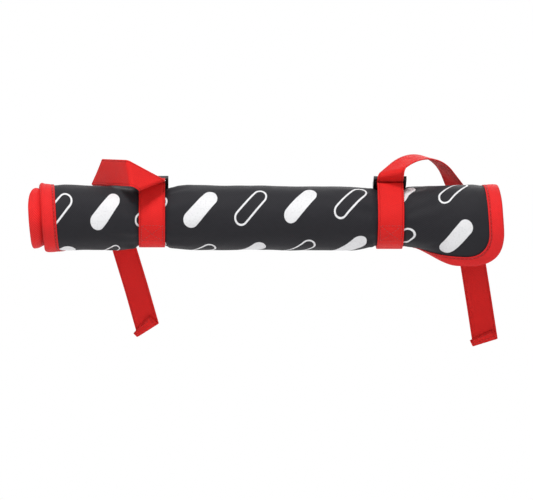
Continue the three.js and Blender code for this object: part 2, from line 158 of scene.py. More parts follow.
def innerFace(u, v):
    turn = turnAt(v)
    x = u + skewAt(turn)
    swell = smooth((strapDistance(x) - flatHalf) / roll["spread"])
    fromEnd = (halfLength - np.abs(x)) / roll["flareReach"]
    flare = roll["flare"] * smooth(1 - fromEnd)
    flare = flare + roll["lipRise"] * smooth((lipStart - x) / roll["lipReach"])
    pitch = strapPitch + (freePitch - strapPitch) * swell
    wound = woundAt(x, turn)
    radius = roll["bore"] - roll["squeeze"] * (1 - swell) + flare + pitch * wound / wholeTurn
    angle = roll["edgeAngle"] + rolledTurn - wound
    reach = np.maximum(0, (v - roll["width"] + roll["flapReach"]) / roll["flapReach"])
    droop = smooth((x - flapStart) / roll["flapRise"]) * reach**2
    y = -radius * np.cos(angle) - roll["flapForward"] * droop
    z = radius * np.sin(angle) - roll["flapDrop"] * droop
    return np.stack([x, y, z], -1)


def rollNormal(u, v):
    nudge = 0.05
    alongU = innerFace(u + nudge, v) - innerFace(u - nudge, v)
    alongV = innerFace(u, v + nudge) - innerFace(u, v - nudge)
    normal = np.cross(alongV, alongU)
    return normal / np.linalg.norm(normal, axis=-1, keepdims=True)


# The flat panel is a rounded rectangle, and its grid bends in the corners
def panelPlace(p, q, inset):
    across = q - halfWidth
    a = (np.abs(p) - straightLength) / roll["corner"]
    b = (np.abs(across) - straightWidth) / roll["corner"]
    radius = roll["corner"] - inset
    cornerU = straightLength + radius * a * np.sqrt(np.maximum(0, 1 - b * b / 2))
    cornerV = straightWidth + radius * b * np.sqrt(np.maximum(0, 1 - a * a / 2))
    edgeU = np.where(a > 1 - 1e-9, np.sign(p) * (halfLength - inset), p)
    edgeV = np.where(b > 1 - 1e-9, halfWidth + np.sign(across) * (halfWidth - inset), q)
    inCorner = (a > 0) & (b > 0)
    u = np.where(inCorner, np.sign(p) * cornerU, edgeU)
    v = np.where(inCorner, halfWidth + np.sign(across) * cornerV, edgeV)
    return u, v


def gridPlace(p, q, inset=0):
    u, v = panelPlace(p, q, inset)
    square = 1 - smooth((np.abs(p) - strapPlaces["front"] - flatHalf) / roll["spread"])
    return u - square * skewAt(turnAt(v)), v, u


def gridPoint(p, q, inset, w):
    u, v, _ = gridPlace(p, q, inset)
    return innerFace(u, v) + rollNormal(u, v) * np.asarray(w)[..., None]


def edgeDistance(u, v):
    a = np.abs(u) - straightLength
    b = np.abs(v - halfWidth) - straightWidth
    corner = roll["corner"] - np.hypot(np.maximum(a, 0), np.maximum(b, 0))
    side = np.minimum(halfLength - np.abs(u), halfWidth - np.abs(v - halfWidth))
    return np.where((a > 0) & (b > 0), corner, side)


def noiseAt(x, y, z):
    places = zip(np.ravel(x), np.ravel(y), np.ravel(z + 0 * x))
    return np.array([noise.noise(Vector(place)) for place in places]).reshape(np.shape(x))


# A grid whose vertices are moved to the given points, with the flat cloth's own places as its UVs
def addGrid(bm, points, flats):
    rows, columns = points.shape[0] - 1, points.shape[1] - 1
    layer = bm.loops.layers.uv.get("UVMap") or bm.loops.layers.uv.new("UVMap")
    made = bmesh.ops.create_grid(bm, x_segments=columns, y_segments=rows, size=0.5)["verts"]
    for vert, point, flat in zip(made, points.reshape(-1, 3), flats.reshape(-1, 2)):
        vert.co = Vector(point) * metre
        for loop in vert.link_loops:
            loop[layer].uv = flat * metre
    return made


# Joins two such grids of the same size along their rims, each vertex to its partner. A bridge
# between the two loops could start them at different corners.
def joinRims(bm, first, second):
    layer = bm.loops.layers.uv["UVMap"]
    partner = dict(zip(first, second))
    for edge in [edge for edge in bm.edges if edge.is_boundary and edge.verts[0] in partner]:
        one, two = edge.verts
        uvs = [corner.link_loops[0][layer].uv.copy() for corner in (one, two)]
        side = bm.faces.new((one, two, partner[two], partner[one]))
        for loop, uv in zip(side.loops, (uvs[0], uvs[1], uvs[1], uvs[0])):
            loop[layer].uv = uv


def meshObject(name, bm, finish):
    bmesh.ops.recalc_face_normals(bm, faces=bm.faces)
    mesh = bpy.data.meshes.new(name)
    bm.to_mesh(mesh)
    bm.free()
    mesh.shade_smooth()
    mesh.materials.append(finishes[finish])
    piece = bpy.data.objects.new(name, mesh)
    bpy.context.collection.objects.link(piece)
    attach(piece, "root")
    return piece


# Pad: foam between two faces of black cloth, pinched under the tape and the straps
pad = {
    "step": 1.7,
    "pinch": 0.35,  # how far the tape flattens each face
    "shoulderStart": -2,  # where the foam begins to rise, from the tape's inner edge
    "shoulderReach": 11,
    "crown": 0.5,  # how far the foam stands up between seams
    "crownReach": 12,
    "lump": 1.1,
    "lumpLength": (46, 27),
    "crinkle": 0.36,
    "crinkleLength": (16, 10),
    "fold": 2.6,
    "foldLength": (32, 7),
    "foldSlant": 0.25,  # how much the folds fan out away from a strap
    "foldStart": 4,
    "foldReach": 18,
    "strapPress": 0.3,
    "pressStart": -2,  # these starts and ends are measured from a strap's edge
    "pressReach": 5,
    "bulge": 2.1,  # how far the foam swells up right beside a strap, on the outer turn
    "bulgeStart": -1,
    "bulgeRise": 6,
    "bulgeEnd": 3,
    "bulgeTurn": 0.4,  # the angle over which the bulge comes in
    "liningLump": 0.3,  # how far the lining stands off where the printed face is uneven
    "liningShift": 1000,  # keeps the lining's UVs apart from the printed face's
    "seed": 7.3,
    "fill": 0.5,
}


def padNoise(name, x, v, layer):
    lengthways, across = pad[name + "Length"]
    return pad[name] * noiseAt(x / lengthways, v / across, layer * pad["seed"])


def padRelief(u, v, x):
    near = strapDistance(x) - webbing["width"] / 2
    wound = woundAt(x, turnAt(v))
    outer = smooth((wound - woundAt(x, rolledTurn) + wholeTurn) / pad["bulgeTurn"])
    rising = smooth((near - pad["bulgeStart"]) / pad["bulgeRise"])
    falling = 1 - smooth((near - pad["bulgeEnd"]) / roll["spread"])
    bulge = pad["bulge"] * outer * rising * falling
    inwards = edgeDistance(u, v) - tape["width"]
    shoulder = smooth((inwards - pad["shoulderStart"]) / pad["shoulderReach"])
    uneven = padNoise("lump", x, v, 1) + padNoise("crinkle", x, v, 2)
    fold = padNoise("fold", x, v + pad["foldSlant"] * np.abs(near), 3)
    fold = fold * smooth(near / pad["foldStart"]) * np.exp(-np.maximum(near, 0) / pad["foldReach"])
    press = pad["strapPress"] * (1 - smooth((near - pad["pressStart"]) / pad["pressReach"]))
    raised = smooth(near / pad["crownReach"]) * (pad["crown"] + uneven) + fold - press + bulge
    return shoulder * raised - pad["pinch"] * (1 - shoulder)


def makePad():
    p, q = np.meshgrid(
        np.linspace(-halfLength, halfLength, round(roll["length"] / pad["step"]) + 1),
        np.linspace(0, roll["width"], round(roll["width"] / pad["step"]) + 1),
    )
    u, v, flatU = gridPlace(p, q)
    face, normal = innerFace(u, v), rollNormal(u, v)
    relief = padRelief(flatU, v, face[..., 0])
    outside = face + normal * (roll["thickness"] + relief)[..., None]
    standing = pad["liningLump"] * np.minimum(np.abs(relief), 1)
    inside = face - normal * (standing - pad["pinch"])[..., None]
    bm = bmesh.new()
    printed = addGrid(bm, outside, np.stack([flatU, v], -1))
    lining = addGrid(bm, inside, np.stack([flatU, v + pad["liningShift"]], -1))
    joinRims(bm, printed, lining)
    piece = meshObject("pad_cover", bm, "pad cloth")
    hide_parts("pad")


# Binding: one ribbed tape folded over the panel's edge and sewn through both legs
binding = {
    "step": 2,
    "legSteps": 8,
    "noseSteps": 8,
    "flatLength": 1170,
    "seamInset": 9.2,
    "rise": 0.75,  # how far the fold stands off the cloth
    "sunk": 0.12,  # and how close the seam pulls it down
    "lip": 0.1,  # how far the tape's own edge lifts again past the seam
    "swell": 0.45,  # the share of the rise that is round, where the rest is a straight slope
    "swellPower": 0.8,
    "ripple": 0.3,
    "rippleLength": 16,
    "rippleLift": 0.5,
    "seed": 4.1,
    "stitchPitch": 3.4,
    "stitchLength": 2.6,
    "threadWidth": 0.55,
    "threadLift": 0.08,
}


def borderPath(step):
    length, width = roll["length"], roll["width"]
    along = np.arange(0, length, step * 1.0) / length
    up = np.arange(0, width, step * 1.0) / width
    one = np.ones_like
    p = np.concatenate([along - 0.5, 0.5 * one(up), 0.5 - along, -0.5 * one(up)]) * length
    q = np.concatenate([0 * along, up, one(along), 1 - up]) * width
    return np.append(p, p[0]), np.append(q, q[0])


# The folded tape's section: how far in from the panel's edge, how high, and where on the flat tape
def tapeSection():
    width, seam = tape["width"], binding["seamInset"]
    rise, sunk, swell = binding["rise"], binding["sunk"], binding["swell"]
    leg = np.linspace(width, 0, binding["legSteps"] + 1)
    bulge = swell * np.sin(math.pi * np.clip(leg / seam, 0, 1) ** binding["swellPower"])
    bulge = bulge + (1 - swell) * (1 - leg / width)
    lift = np.where(leg > seam, sunk + binding["lip"], sunk + (rise - sunk) * bulge)
    angle = np.radians(np.linspace(90, -90, binding["noseSteps"] + 1)[1:-1])
    half = roll["thickness"] / 2
    reach = half + lift[-1]
    insets = np.concatenate([leg, -(tape["nose"] + lift[-1]) * np.cos(angle), leg[::-1]])
    heights = np.concatenate([half + lift, reach * np.sin(angle), -half - lift[::-1]]) + half
    across = np.concatenate([[0], np.cumsum(np.hypot(np.diff(insets), np.diff(heights)))])
    return insets, heights, across


def makeBinding():
    p, q = borderPath(binding["step"])
    insets, heights, across = tapeSection()
    along = np.arange(len(p)) * binding["step"]
    wave = binding["ripple"] * noiseAt(along / binding["rippleLength"], 0 * along, binding["seed"])
    wave[-1] = wave[0]
    fullness = np.sin(math.pi * np.linspace(0, 1, len(insets)))
    lines = []
    for inset, height, full in zip(insets, heights, fullness):
        lift = binding["rippleLift"] * wave * full * np.sign(height - roll["thickness"] / 2)
        lines.append(gridPoint(p, q, inset - wave * full, height + lift))
    bm = bmesh.new()
    addGrid(bm, np.stack(lines, 1), np.stack(np.meshgrid(across, along), -1))
    bmesh.ops.remove_doubles(bm, verts=bm.verts, dist=1e-6)
    piece = meshObject("edge_tape", bm, "tape cloth")
    wall = piece.modifiers.new("wall", "SOLIDIFY")
    wall.thickness = tape["thickness"] * metre
    wall.offset = 0
    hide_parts("edge_binding")


# Sewing thread: short rounded stitches laid end to end along a line on the cloth. They are made
# a few dozen at a time, because the operator slows down in a large mesh.
stitch = {"segments": 6, "rings": 5, "batch": 40, "nudge": 0.4}


def alongLine(place, reach, line):
    return np.array([np.interp(place, reach, line[:, k]) for k in range(3)])


def addStitches(bm, line, normals, sewing):
    steps = np.linalg.norm(np.diff(line, axis=0), axis=1)
    reach = np.concatenate([[0], np.cumsum(steps)])
    count = max(1, int(reach[-1] / sewing["stitchPitch"]))
    places = (np.arange(count) + 0.5) * reach[-1] / count
    halfLong, halfWide = sewing["stitchLength"] / 2, sewing["threadWidth"] / 2
    size = Matrix.Diagonal((halfLong, halfWide, halfWide, 1))
    for batch in np.array_split(places, count // stitch["batch"] + 1):
        few = bmesh.new()
        for place in batch:
            at = alongLine(place, reach, line)
            ahead = alongLine(place + stitch["nudge"], reach, line)
            behind = alongLine(place - stitch["nudge"], reach, line)
            along = Vector(ahead - behind).normalized()
            out = Vector(alongLine(place, reach, normals)).normalized()
            across = out.cross(along).normalized()
            turn = Matrix((along, across, along.cross(across))).transposed().to_4x4()
            spot = Matrix.Translation(Vector(at) * metre) @ turn @ Matrix.Scale(metre, 4) @ size
            bmesh.ops.create_uvsphere(
                few,
                u_segments=stitch["segments"],
                v_segments=stitch["rings"],
                radius=1,
                matrix=spot,
            )
        mesh = bpy.data.meshes.new("stitches")
        few.to_mesh(mesh)
        few.free()
        bm.from_mesh(mesh)
        bpy.data.meshes.remove(mesh)


def makeTapeStitches():
    p, q = borderPath(1)
    inset = binding["seamInset"] + 0 * p
    lift = binding["sunk"] + tape["thickness"] / 2 + binding["threadLift"]
    bm = bmesh.new()
    for height, out in ((roll["thickness"] + lift, 1), (-lift, -1)):
        line = gridPoint(p, q, inset, height + 0 * p)
        beyond = gridPoint(p, q, inset, height + out + 0 * p)
        addStitches(bm, line, beyond - line, binding)
    piece = meshObject("tape_stitches", bm, "red thread")


# Buckle sizes that the webbing's route takes
buckle = {
    "angle": 112,
    "thickness": 7.4,
    "socketLength": 24,
    "plugLength": 19,
    "plugGap": 0.5,
    "barWidth": 2.8,
    "barThickness": 4.2,
    "slotLength": 3.5,
    "shoulderEnd": -4.9,
    "sliderBarFloor": 0.8,
    "sliderBarHeight": 3,
}
offset = webbing["clearance"] + webbing["thickness"] / 2
bearingTurn = rolledTurn - math.radians(buckle["angle"]) + roll["edgeAngle"]
squeezedBore = roll["bore"] - roll["squeeze"]
bearingRadius = squeezedBore + strapPitch * bearingTurn / wholeTurn + roll["thickness"]
rearSlotEnd = buckle["socketLength"] - buckle["barWidth"]
barFloor = (buckle["thickness"] - buckle["barThickness"]) / 2
barRoof = barFloor + buckle["barThickness"]
sliderBarStart = buckle["shoulderEnd"] - buckle["slotLength"]
sliderBarEnd = sliderBarStart - buckle["barWidth"]
sliderBarRoof = buckle["sliderBarFloor"] + buckle["sliderBarHeight"]
endBarEnd = -buckle["plugGap"] - buckle["plugLength"]


# A place in the buckle's own side view, set on the roll
def buckleSpot(y, z):
    tilt = math.radians(90 - buckle["angle"])
    y = y - (buckle["socketLength"] - buckle["plugLength"]) / 2
    z = z + bearingRadius + webbing["clearance"]
    cosine, sine = math.cos(tilt), math.sin(tilt)
    return np.array([y * cosine - z * sine, y * sine + z * cosine])


# The corners of a band pulled tight round all the points
def hullOf(points):
    ordered = sorted(map(tuple, points))

    def chainOf(run):
        chain = []
        for point in run:
            while len(chain) > 1:
                (ax, ay), (bx, by) = chain[-2:]
                if (bx - ax) * (point[1] - by) - (by - ay) * (point[0] - bx) > 1e-9:
                    break
                chain.pop()
            chain.append(point)
        return chain[:-1]

    return [np.array(point) for point in chainOf(ordered) + chainOf(ordered[::-1])]


def setLength(vector, length):
    return vector * (length / np.linalg.norm(vector))


# Where the strap presses on the roll, at its middle and at both of its edges
def pressedSpots(place):
    q = np.arange(0, roll["width"] + 0.5, 1.0)
    q = q[turnAt(q) > rolledTurn - wholeTurn]
    under = np.where(q >= roll["width"] - tape["width"], tape["clearance"] + tape["thickness"], 0)
    nose = tape["nose"] + tape["clearance"] + tape["thickness"]
    edge = np.array([roll["width"]])
    spots = []
    for side in (-0.5, 0, 0.5):
        x = place + side * webbing["width"]
        spots += [*gridPoint(x + 0 * q, q, 0, roll["thickness"] + under + offset)[:, 1:]]
        height = roll["thickness"] + offset + 0 * edge
        spots += [*gridPoint(x + 0 * edge, edge, -nose, height)[:, 1:]]
    return spots


# Tight round the roll, from under the socket's bar to under the slider's last bar
def wayRound(place):
    underEndBar = buckleSpot(endBarEnd, -offset)
    underRearBar = buckleSpot(buckle["socketLength"], barFloor - offset)
    hull = hullOf([*pressedSpots(place), underEndBar, underRearBar])
    begin = next(i for i, point in enumerate(hull) if np.allclose(point, underRearBar))
    turned = hull[begin:] + hull[:begin]
    if turned[1][1] > underRearBar[1]:
        turned = [turned[0]] + turned[1:][::-1]
    end = next(i for i, point in enumerate(turned) if np.allclose(point, underEndBar))
    return turned[: end + 1]


# The strap's whole way but for its tail: the lap behind the socket, the loop round its bar, the
# roll, and up and over the slider's middle bar
def strapRoute(place):
    around = wayRound(place)
    leave = setLength(around[1] - around[0], 1)
    outwards = np.array([-leave[1], leave[0]])
    lapEnd = around[0] + outwards * (webbing["thickness"] + webbing["clearance"])
    lap = [lapEnd + leave * back for back in strap["lap"]]
    ease, cut = strap["ease"], strap["cornerCut"]
    slot = rearSlotEnd - offset
    loop = [
        (buckle["socketLength"] + offset + ease, barRoof + 2 * ease),
        (buckle["socketLength"] + 2 * ease, barRoof + offset),
        (rearSlotEnd - ease, barRoof + offset),
        (slot, barRoof + ease),
        (slot, barFloor - ease),
        (rearSlotEnd - ease, barFloor - offset),
    ]
    rise, top, fall = sliderBarStart + offset, sliderBarRoof + offset, sliderBarEnd - offset
    level = offset - webbing["clearance"] + ease
    slider = [
        (rise - cut, -offset),
        (rise, strap["sliderEntry"]),
        (rise, top - cut),
        (rise - cut, top),
        (fall + cut, top),
        (fall, top - cut),
        (fall - ease, level + cut),
        (fall - ease - cut, level),
        (endBarEnd, level),
    ]
    spots = [[buckleSpot(y, z) for y, z in group] for group in (loop, slider)]
    return lap + spots[0] + around + spots[1]


def softened(path):
    soft = [path[0]]
    for before, point, after in zip(path, path[1:], path[2:]):
        back, ahead = before - point, after - point
        far, near = np.linalg.norm(back), np.linalg.norm(ahead)
        if back @ ahead / (far * near) < math.cos(math.radians(strap["nearlyStraight"])):
            soft.append(point)
            continue
        enter = point + setLength(back, min(strap["bendRadius"], strap["bendShare"] * far))
        leave = point + setLength(ahead, min(strap["bendRadius"], strap["bendShare"] * near))
        for t in (0, 0.25, 0.5, 0.75, 1):
            soft.append((1 - t) ** 2 * enter + 2 * t * (1 - t) * point + t * t * leave)
    return soft + [path[-1]]


# Each bend is a run, the turn in degrees at its end, and the slant of the line that it folds on
def bendsAlong(path):
    bends = [(0, 0, 0)]
    for i in range(1, len(path)):
        before = path[i] - path[i - 1]
        after = path[i + 1] - path[i] if i + 1 < len(path) else before
        turn = math.degrees(math.atan2(before[0] * after[1] - before[1] * after[0], before @ after))
        bends.append((np.linalg.norm(before), -turn, 0))
    return bends


# The same turn spread over several lines, as round a bar of that radius
def roundBend(run, turn, radius, skew=0, steps=10):
    step = abs(math.radians(turn)) * radius / steps
    bends = [(step if i else run + step / 2, turn / steps, skew) for i in range(steps)]
    return [*bends, (step / 2, 0, skew)]


strap = {
    "lap": (18, 3),  # where the looped end lies, from its cut end to the socket
    "ease": 0.2,  # how far the route keeps off the buckle
    "cornerCut": 1,  # and how much it cuts the slider's corners
    "sliderEntry": 0.3,
    "bendRadius": 2.5,
    "bendShare": 0.4,
    "nearlyStraight": 155,  # a flatter corner than this isn't rounded
    "hem": 7,
    "sway": 3,  # the turn, in degrees, by which a tail hangs a little out of line
    "swayRadius": 300,
    "swayShares": (0.2, 0.3),
    "step": 2.2,
    "across": (-1, -0.985, -0.95, -0.88, -0.6, -0.3, 0, 0.3, 0.6, 0.88, 0.95, 0.985, 1),
    "edge": (0.42, 0.72, 0.92, 1, 1, 1, 1, 1, 1, 1, 0.92, 0.72, 0.42),  # share of the thickness
    "cup": 0.25,
    "ripple": 0.35,
    "rippleLength": 34,
    "seed": 5.5,
    "looseReach": 30,  # the length over which a tail takes on its cup and ripple
    "looseEnd": 32,  # and how far from the tail's end they are gone again
    "looseFade": 20,
    "stitchPitch": 2.6,
    "stitchLength": 2.1,
    "threadWidth": 0.5,
    "threadLift": 0.06,
    "seamSteps": 12,
    "hemSeams": (2.2, 5.2),  # how far the seams lie from the hem's fold
    "hemSide": 0.86,
    "boxSide": 0.8,
    "lapBox": (3, 13),
    "sewnAngle": math.radians(-38),
    "sewnLength": 15,
}


# The straight end of a tail, with its hem folded up
def hangingEnd(length, slant):
    first, second = strap["swayShares"]
    swayLength = math.radians(strap["sway"]) * strap["swayRadius"]
    return [
        *roundBend(first * length, -strap["sway"], strap["swayRadius"]),
        *roundBend(second * length, strap["sway"], strap["swayRadius"]),
        ((1 - first - second) * length - 2 * swayLength + webbing["thickness"], 90, slant),
        (webbing["thickness"] + webbing["clearance"], 90, slant),
        (strap["hem"], 0, 0),
    ]


tails = {
    # Folded back on a slant so that it stands on edge over the roll, then folded down behind it
    "rear": [
        *roundBend(2, -54, 5),
        *roundBend(10, 145, 2.5, -0.76, 12),
        *roundBend(15.5, 87, 4, 0.59, 12),
        *roundBend(61.3, 135, 2.5, -0.89, 12),
        *roundBend(18, 22, 12, 0.7, 4),
        *hangingEnd(116, -0.28),
    ],
    # Arched up and over, and down behind the free corner
    "front": [
        *roundBend(6.7, 126, 3.5, 0.56, 12),
        *roundBend(5.8, 73, 47, -0.14, 16),
        *roundBend(13.9, 27, 23.5, 1.24, 8),
        *roundBend(14, 44, 8, 0.82, 10),
        *hangingEnd(115, -0.15),
    ],
}


# Webbing bends about lines across it. A skew slants such a line, and turns the strap sideways.
def layStrap(place, start, bends):
    at = np.array([place, *start[0]])
    along = Vector((0, *setLength(start[1] - start[0], 1)))
    across = Vector((1, 0, 0))
    rings, reach = [], 0
    for run, turn, skew in bends:
        at = at + np.array(along) * run
        reach += run
        axis = (across + along * skew).normalized()
        half = np.array(across + along * skew) * webbing["width"] / 2
        lift = Matrix.Rotation(-math.radians(turn) / 2, 3, axis) @ along.cross(across).normalized()
        stretch = 1 / math.cos(math.radians(turn) / 2)
        rings.append((at - half, at + half, np.array(lift) * stretch, reach, skew))
        spin = Matrix.Rotation(-math.radians(turn), 3, axis)
        along, across = spin @ along, spin @ across
    return rings, reach


# Rings close enough together for the webbing's own ripple
def fineRings(rings):
    fine = []
    for one, two in zip(rings, rings[1:]):
        count = max(1, round((two[3] - one[3]) / strap["step"]))
        for i in range(count):
            t = i / count
            fine.append(tuple(a * (1 - t) + b * t for a, b in zip(one, two)))
    return fine + [rings[-1]]


# A point on the strap: side runs from -1 to 1 across it, height out from its middle
def strapPoint(ring, side, height, loose):
    left, right, lift, reach, _ = ring
    spot = Vector((reach / strap["rippleLength"], 0.5 * side, strap["seed"]))
    bow = (strap["cup"] * (1 - side * side) + strap["ripple"] * noise.noise(spot)) * loose
    return left * (0.5 - side / 2) + right * (0.5 + side / 2) + lift * (height + bow)


def looseness(reach, tailStart, length):
    coming = smooth((reach - tailStart) / strap["looseReach"])
    going = smooth((length - strap["looseEnd"] - reach) / strap["looseFade"])
    return float(coming * going)


def makeStrap(end, place):
    route = softened(strapRoute(place))
    bends = bendsAlong(route)[:-1]
    tailStart = sum(run for run, _, _ in bends)
    run, turn, skew = tails[end][0]
    bends += [(run + np.linalg.norm(route[-1] - route[-2]), turn, skew), *tails[end][1:]]
    rings, length = layStrap(place, route, bends)
    rings = fineRings(rings)
    sides = [side * webbing["width"] / 2 for side in strap["across"]]
    flats = np.array([[(side, ring[3] + side * ring[4]) for side in sides] for ring in rings])
    bm = bmesh.new()
    faces = []
    for face in (1, -1):
        half = face * webbing["thickness"] / 2
        points = np.array([
            [
                strapPoint(ring, side, half * share, looseness(ring[3], tailStart, length))
                for side, share in zip(strap["across"], strap["edge"])
            ]
            for ring in rings
        ])
        faces.append(addGrid(bm, points, flats))
    joinRims(bm, *faces)
    piece = meshObject(f"{end}_webbing", bm, "webbing cloth")
    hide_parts(f"{end}_strap")
    makeStrapStitches(end, rings, tailStart, length)
    print(end, "strap", round(length), "mm long")


def ringAt(rings, reach):
    reaches = [ring[3] for ring in rings]
    i = int(np.clip(np.searchsorted(reaches, reach) - 1, 0, len(rings) - 2))
    t = (reach - reaches[i]) / max(reaches[i + 1] - reaches[i], 1e-6)
    return tuple(a * (1 - t) + b * t for a, b in zip(rings[i], rings[i + 1]))


# A seam given by its corners on the strap, as side and length along it
def addSeam(bm, rings, corners, face):
    height = face * (webbing["thickness"] / 2 + strap["threadLift"])
    line, out = [], []
    for (sideA, reachA), (sideB, reachB) in zip(corners, corners[1:]):
        for t in np.linspace(0, 1, strap["seamSteps"]):
            ring = ringAt(rings, reachA * (1 - t) + reachB * t)
            side = sideA * (1 - t) + sideB * t
            line.append(strapPoint(ring, side, height, 0))
            out.append(ring[2] * face)
    addStitches(bm, np.array(line), np.array(out), strap)


# A sewn box with a cross in it
def addBox(bm, rings, first, last, face):
    side = strap["boxSide"]
    box = [(-side, first), (side, first), (side, last), (-side, last), (-side, first), (side, last)]
    addSeam(bm, rings, box, face)
    addSeam(bm, rings, [(side, first), (-side, last)], face)


# Where the strap is sewn to the panel, low on the viewer's side
def sewnReach(rings, tailStart):
    wrapped = [ring for ring in rings if ring[3] < tailStart]
    middles = [(ring[0] + ring[1]) / 2 for ring in wrapped]
    angles = np.array([math.atan2(middle[2], -middle[1]) for middle in middles])
    return wrapped[int(np.argmin(np.abs(angles - strap["sewnAngle"])))][3]


def makeStrapStitches(end, rings, tailStart, length):
    bm = bmesh.new()
    side = strap["hemSide"]
    secondFold = length - strap["hem"]
    firstFold = secondFold - webbing["thickness"] - webbing["clearance"]
    for back in strap["hemSeams"]:
        for reach in (firstFold - back, secondFold + back):
            addSeam(bm, rings, [(-side, reach), (side, reach)], -1)
    addBox(bm, rings, *strap["lapBox"], 1)
    sewn = sewnReach(rings, tailStart)
    addBox(bm, rings, sewn - strap["sewnLength"] / 2, sewn + strap["sewnLength"] / 2, -1)
    piece = meshObject(f"{end}_stitches", bm, "red thread")


# Materials
def newMaterial(name):
    material = bpy.data.materials.new(name)
    material.use_nodes = True
    return material, material.node_tree, material.node_tree.nodes["Principled BSDF"]


def calc(tree, operation, first, second=None, third=None):
    node = tree.nodes.new("ShaderNodeMath")
    node.operation = operation
    for socket, value in zip(node.inputs, (first, second, third)):
        if isinstance(value, bpy.types.NodeSocket):
            tree.links.new(value, socket)
        elif value is not None:
            socket.default_value = value
    return node.outputs[0]


def clamped(tree, value):
    return calc(tree, "MINIMUM", calc(tree, "MAXIMUM", value, 0), 1)


def newGroup(name, inputs, outputs):
    group = bpy.data.node_groups.new(name, "ShaderNodeTree")
    for label, kind, value in inputs:
        socket = group.interface.new_socket(name=label, in_out="INPUT", socket_type=kind)
        if value is not None:
            socket.default_value = value
    for label, kind in outputs:
        group.interface.new_socket(name=label, in_out="OUTPUT", socket_type=kind)
    start = group.nodes.new("NodeGroupInput")
    finish = group.nodes.new("NodeGroupOutput")
    return group, start.outputs, finish.inputs


# Over-and-under weave: threads of two directions that take turns on top
def makeWeaveGroup():
    group, given, out = newGroup(
        "weave",
        [
            ("UV", "NodeSocketVector", None),
            ("Across per metre", "NodeSocketFloat", 1000),
            ("Along per metre", "NodeSocketFloat", 1000),
        ],
        [("Height", "NodeSocketFloat"), ("Along on top", "NodeSocketFloat")],
    )
    split = group.nodes.new("ShaderNodeSeparateXYZ")
    group.links.new(given["UV"], split.inputs[0])
    x = calc(group, "MULTIPLY", split.outputs[0], given["Across per metre"])
    y = calc(group, "MULTIPLY", split.outputs[1], given["Along per metre"])

    def thread(width, length, shift):
        bump = calc(group, "ABSOLUTE", calc(group, "SINE", calc(group, "MULTIPLY", width, math.pi)))
        phase = calc(group, "ADD", length, calc(group, "ADD", calc(group, "FLOOR", width), shift))
        wave = calc(group, "SINE", calc(group, "MULTIPLY", phase, math.pi))
        return calc(group, "MULTIPLY", bump, calc(group, "MULTIPLY_ADD", wave, 0.5, 0.5))

    lengthwise = thread(x, y, 0.5)
    crosswise = thread(y, x, 1.5)
    group.links.new(calc(group, "MAXIMUM", lengthwise, crosswise), out["Height"])
    top = calc(group, "GREATER_THAN", lengthwise, crosswise)
    group.links.new(top, out["Along on top"])
    return group


# Slow change of tone over a surface, with finer flecks in it
def makeMottleGroup():
    group, given, out = newGroup(
        "mottle",
        [("Scale", "NodeSocketFloat", 40), ("Fleck scale", "NodeSocketFloat", 900)],
        [("Tone", "NodeSocketFloat"), ("Fleck", "NodeSocketFloat")],
    )
    place = group.nodes.new("ShaderNodeTexCoord")
    for scale, label in (("Scale", "Tone"), ("Fleck scale", "Fleck")):
        cloud = group.nodes.new("ShaderNodeTexNoise")
        cloud.inputs["Detail"].default_value = 3
        group.links.new(place.outputs["Object"], cloud.inputs["Vector"])
        group.links.new(given[scale], cloud.inputs["Scale"])
        group.links.new(cloud.outputs["Fac"], out[label])
    return group


# Printed capsules in slanting rows, each row shifted by half a step, full and outlined by turns
printing = {
    "rowStep": 29,
    "step": 60,
    "length": 34,
    "radius": 6,
    "line": 1.5,
    "blur": 0.25,
    "ink": (0.74, 0.74, 0.75),
    "cover": 0.72,
    "wear": 0.25,  # how much more the ink covers where no fine crack runs
    "crackScale": 700,
    "crackSlope": 2.2,
    "crackLevel": 2.1,
    "gloss": 0.2,
    "fill": 0.55,  # how much of the weave the ink fills
    "bump": 0.12,
}


def makePrintGroup():
    group, given, out = newGroup(
        "capsules",
        [("UV", "NodeSocketVector", None)],
        [("Ink", "NodeSocketFloat")],
    )
    rowStep, step, halfLine = printing["rowStep"], printing["step"], printing["line"] / 2
    split = group.nodes.new("ShaderNodeSeparateXYZ")
    group.links.new(given["UV"], split.inputs[0])
    slant = math.sqrt(0.5) / metre
    across = calc(group, "MULTIPLY", calc(group, "ADD", split.outputs[0], split.outputs[1]), slant)
    along = calc(group, "SUBTRACT", split.outputs[0], split.outputs[1])
    along = calc(group, "MULTIPLY", along, slant)
    row = calc(group, "FLOOR", calc(group, "DIVIDE", across, rowStep))
    level = calc(group, "MULTIPLY_ADD", row, -rowStep, across)
    level = calc(group, "SUBTRACT", level, rowStep / 2)
    odd = calc(group, "FLOORED_MODULO", row, 2)
    place = calc(group, "MULTIPLY_ADD", odd, step / 2, along)
    place = calc(group, "FLOORED_MODULO", place, step)
    place = calc(group, "ABSOLUTE", calc(group, "SUBTRACT", place, step / 2))
    straight = printing["length"] / 2 - printing["radius"]
    beyond = calc(group, "MAXIMUM", calc(group, "SUBTRACT", place, straight), 0)
    squares = calc(group, "MULTIPLY_ADD", level, level, calc(group, "MULTIPLY", beyond, beyond))
    gap = calc(group, "SUBTRACT", calc(group, "SQRT", squares), printing["radius"])
    ring = calc(group, "ABSOLUTE", calc(group, "ADD", gap, halfLine))
    ring = calc(group, "SUBTRACT", ring, halfLine)
    shape = calc(group, "MULTIPLY_ADD", odd, calc(group, "SUBTRACT", ring, gap), gap)
    edge = clamped(group, calc(group, "MULTIPLY_ADD", shape, -1 / printing["blur"], 0.5))
    # The lining's UVs lie a metre further on, and it isn't printed
    printed = calc(group, "LESS_THAN", split.outputs[1], 0.5)
    group.links.new(calc(group, "MULTIPLY", edge, printed), out["Ink"])
    return group


